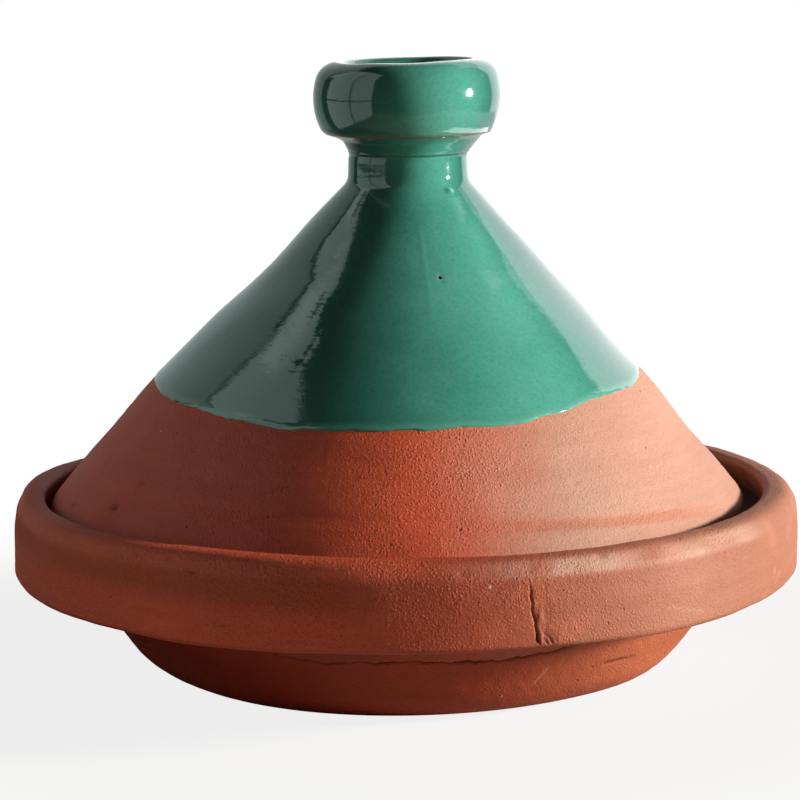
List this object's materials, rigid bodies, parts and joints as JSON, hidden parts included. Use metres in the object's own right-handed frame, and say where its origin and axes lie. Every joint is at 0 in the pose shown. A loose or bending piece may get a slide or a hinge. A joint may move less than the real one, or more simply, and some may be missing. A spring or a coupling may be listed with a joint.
{
  "type": "tagine pot",
  "caption": "Clay tagine for slow cooking: shallow thrown dish with a heavy overhanging rim, and a cone lid that stands in its gallery, the lid's top half dipped in green glaze, open cup knob",
  "frame": {"origin": "middle of the flat foot under the dish, on the table", "axes": "+Z is the pot's axis, up through dish, lid and knob; -Y is the side the picture shows, +X is right in the picture"},
  "size_m": [0.27, 0.27, 0.2072],
  "materials": {
    "terracotta": "bare fired earthenware, matt, hand-thrown",
    "clear_lining": "clear honey-coloured glaze over red clay, glossy",
    "green_glaze": "copper-green dipped glaze, glossy"
  },
  "bodies": {
    "dish": {"dish_bowl": "terracotta", "dish_rim": "terracotta", "dish_glaze": "clear_lining"},
    "lid": {"lid_cone": "terracotta", "lid_collar": "terracotta", "lid_knob": "terracotta", "lid_glaze": "green_glaze"}
  },
  "joints": [
    {"name": "lid_lift", "type": "slide", "parent": "dish", "child": "lid", "axis": [0, 0, 1], "range_m": [0, 0.16]}
  ]
}
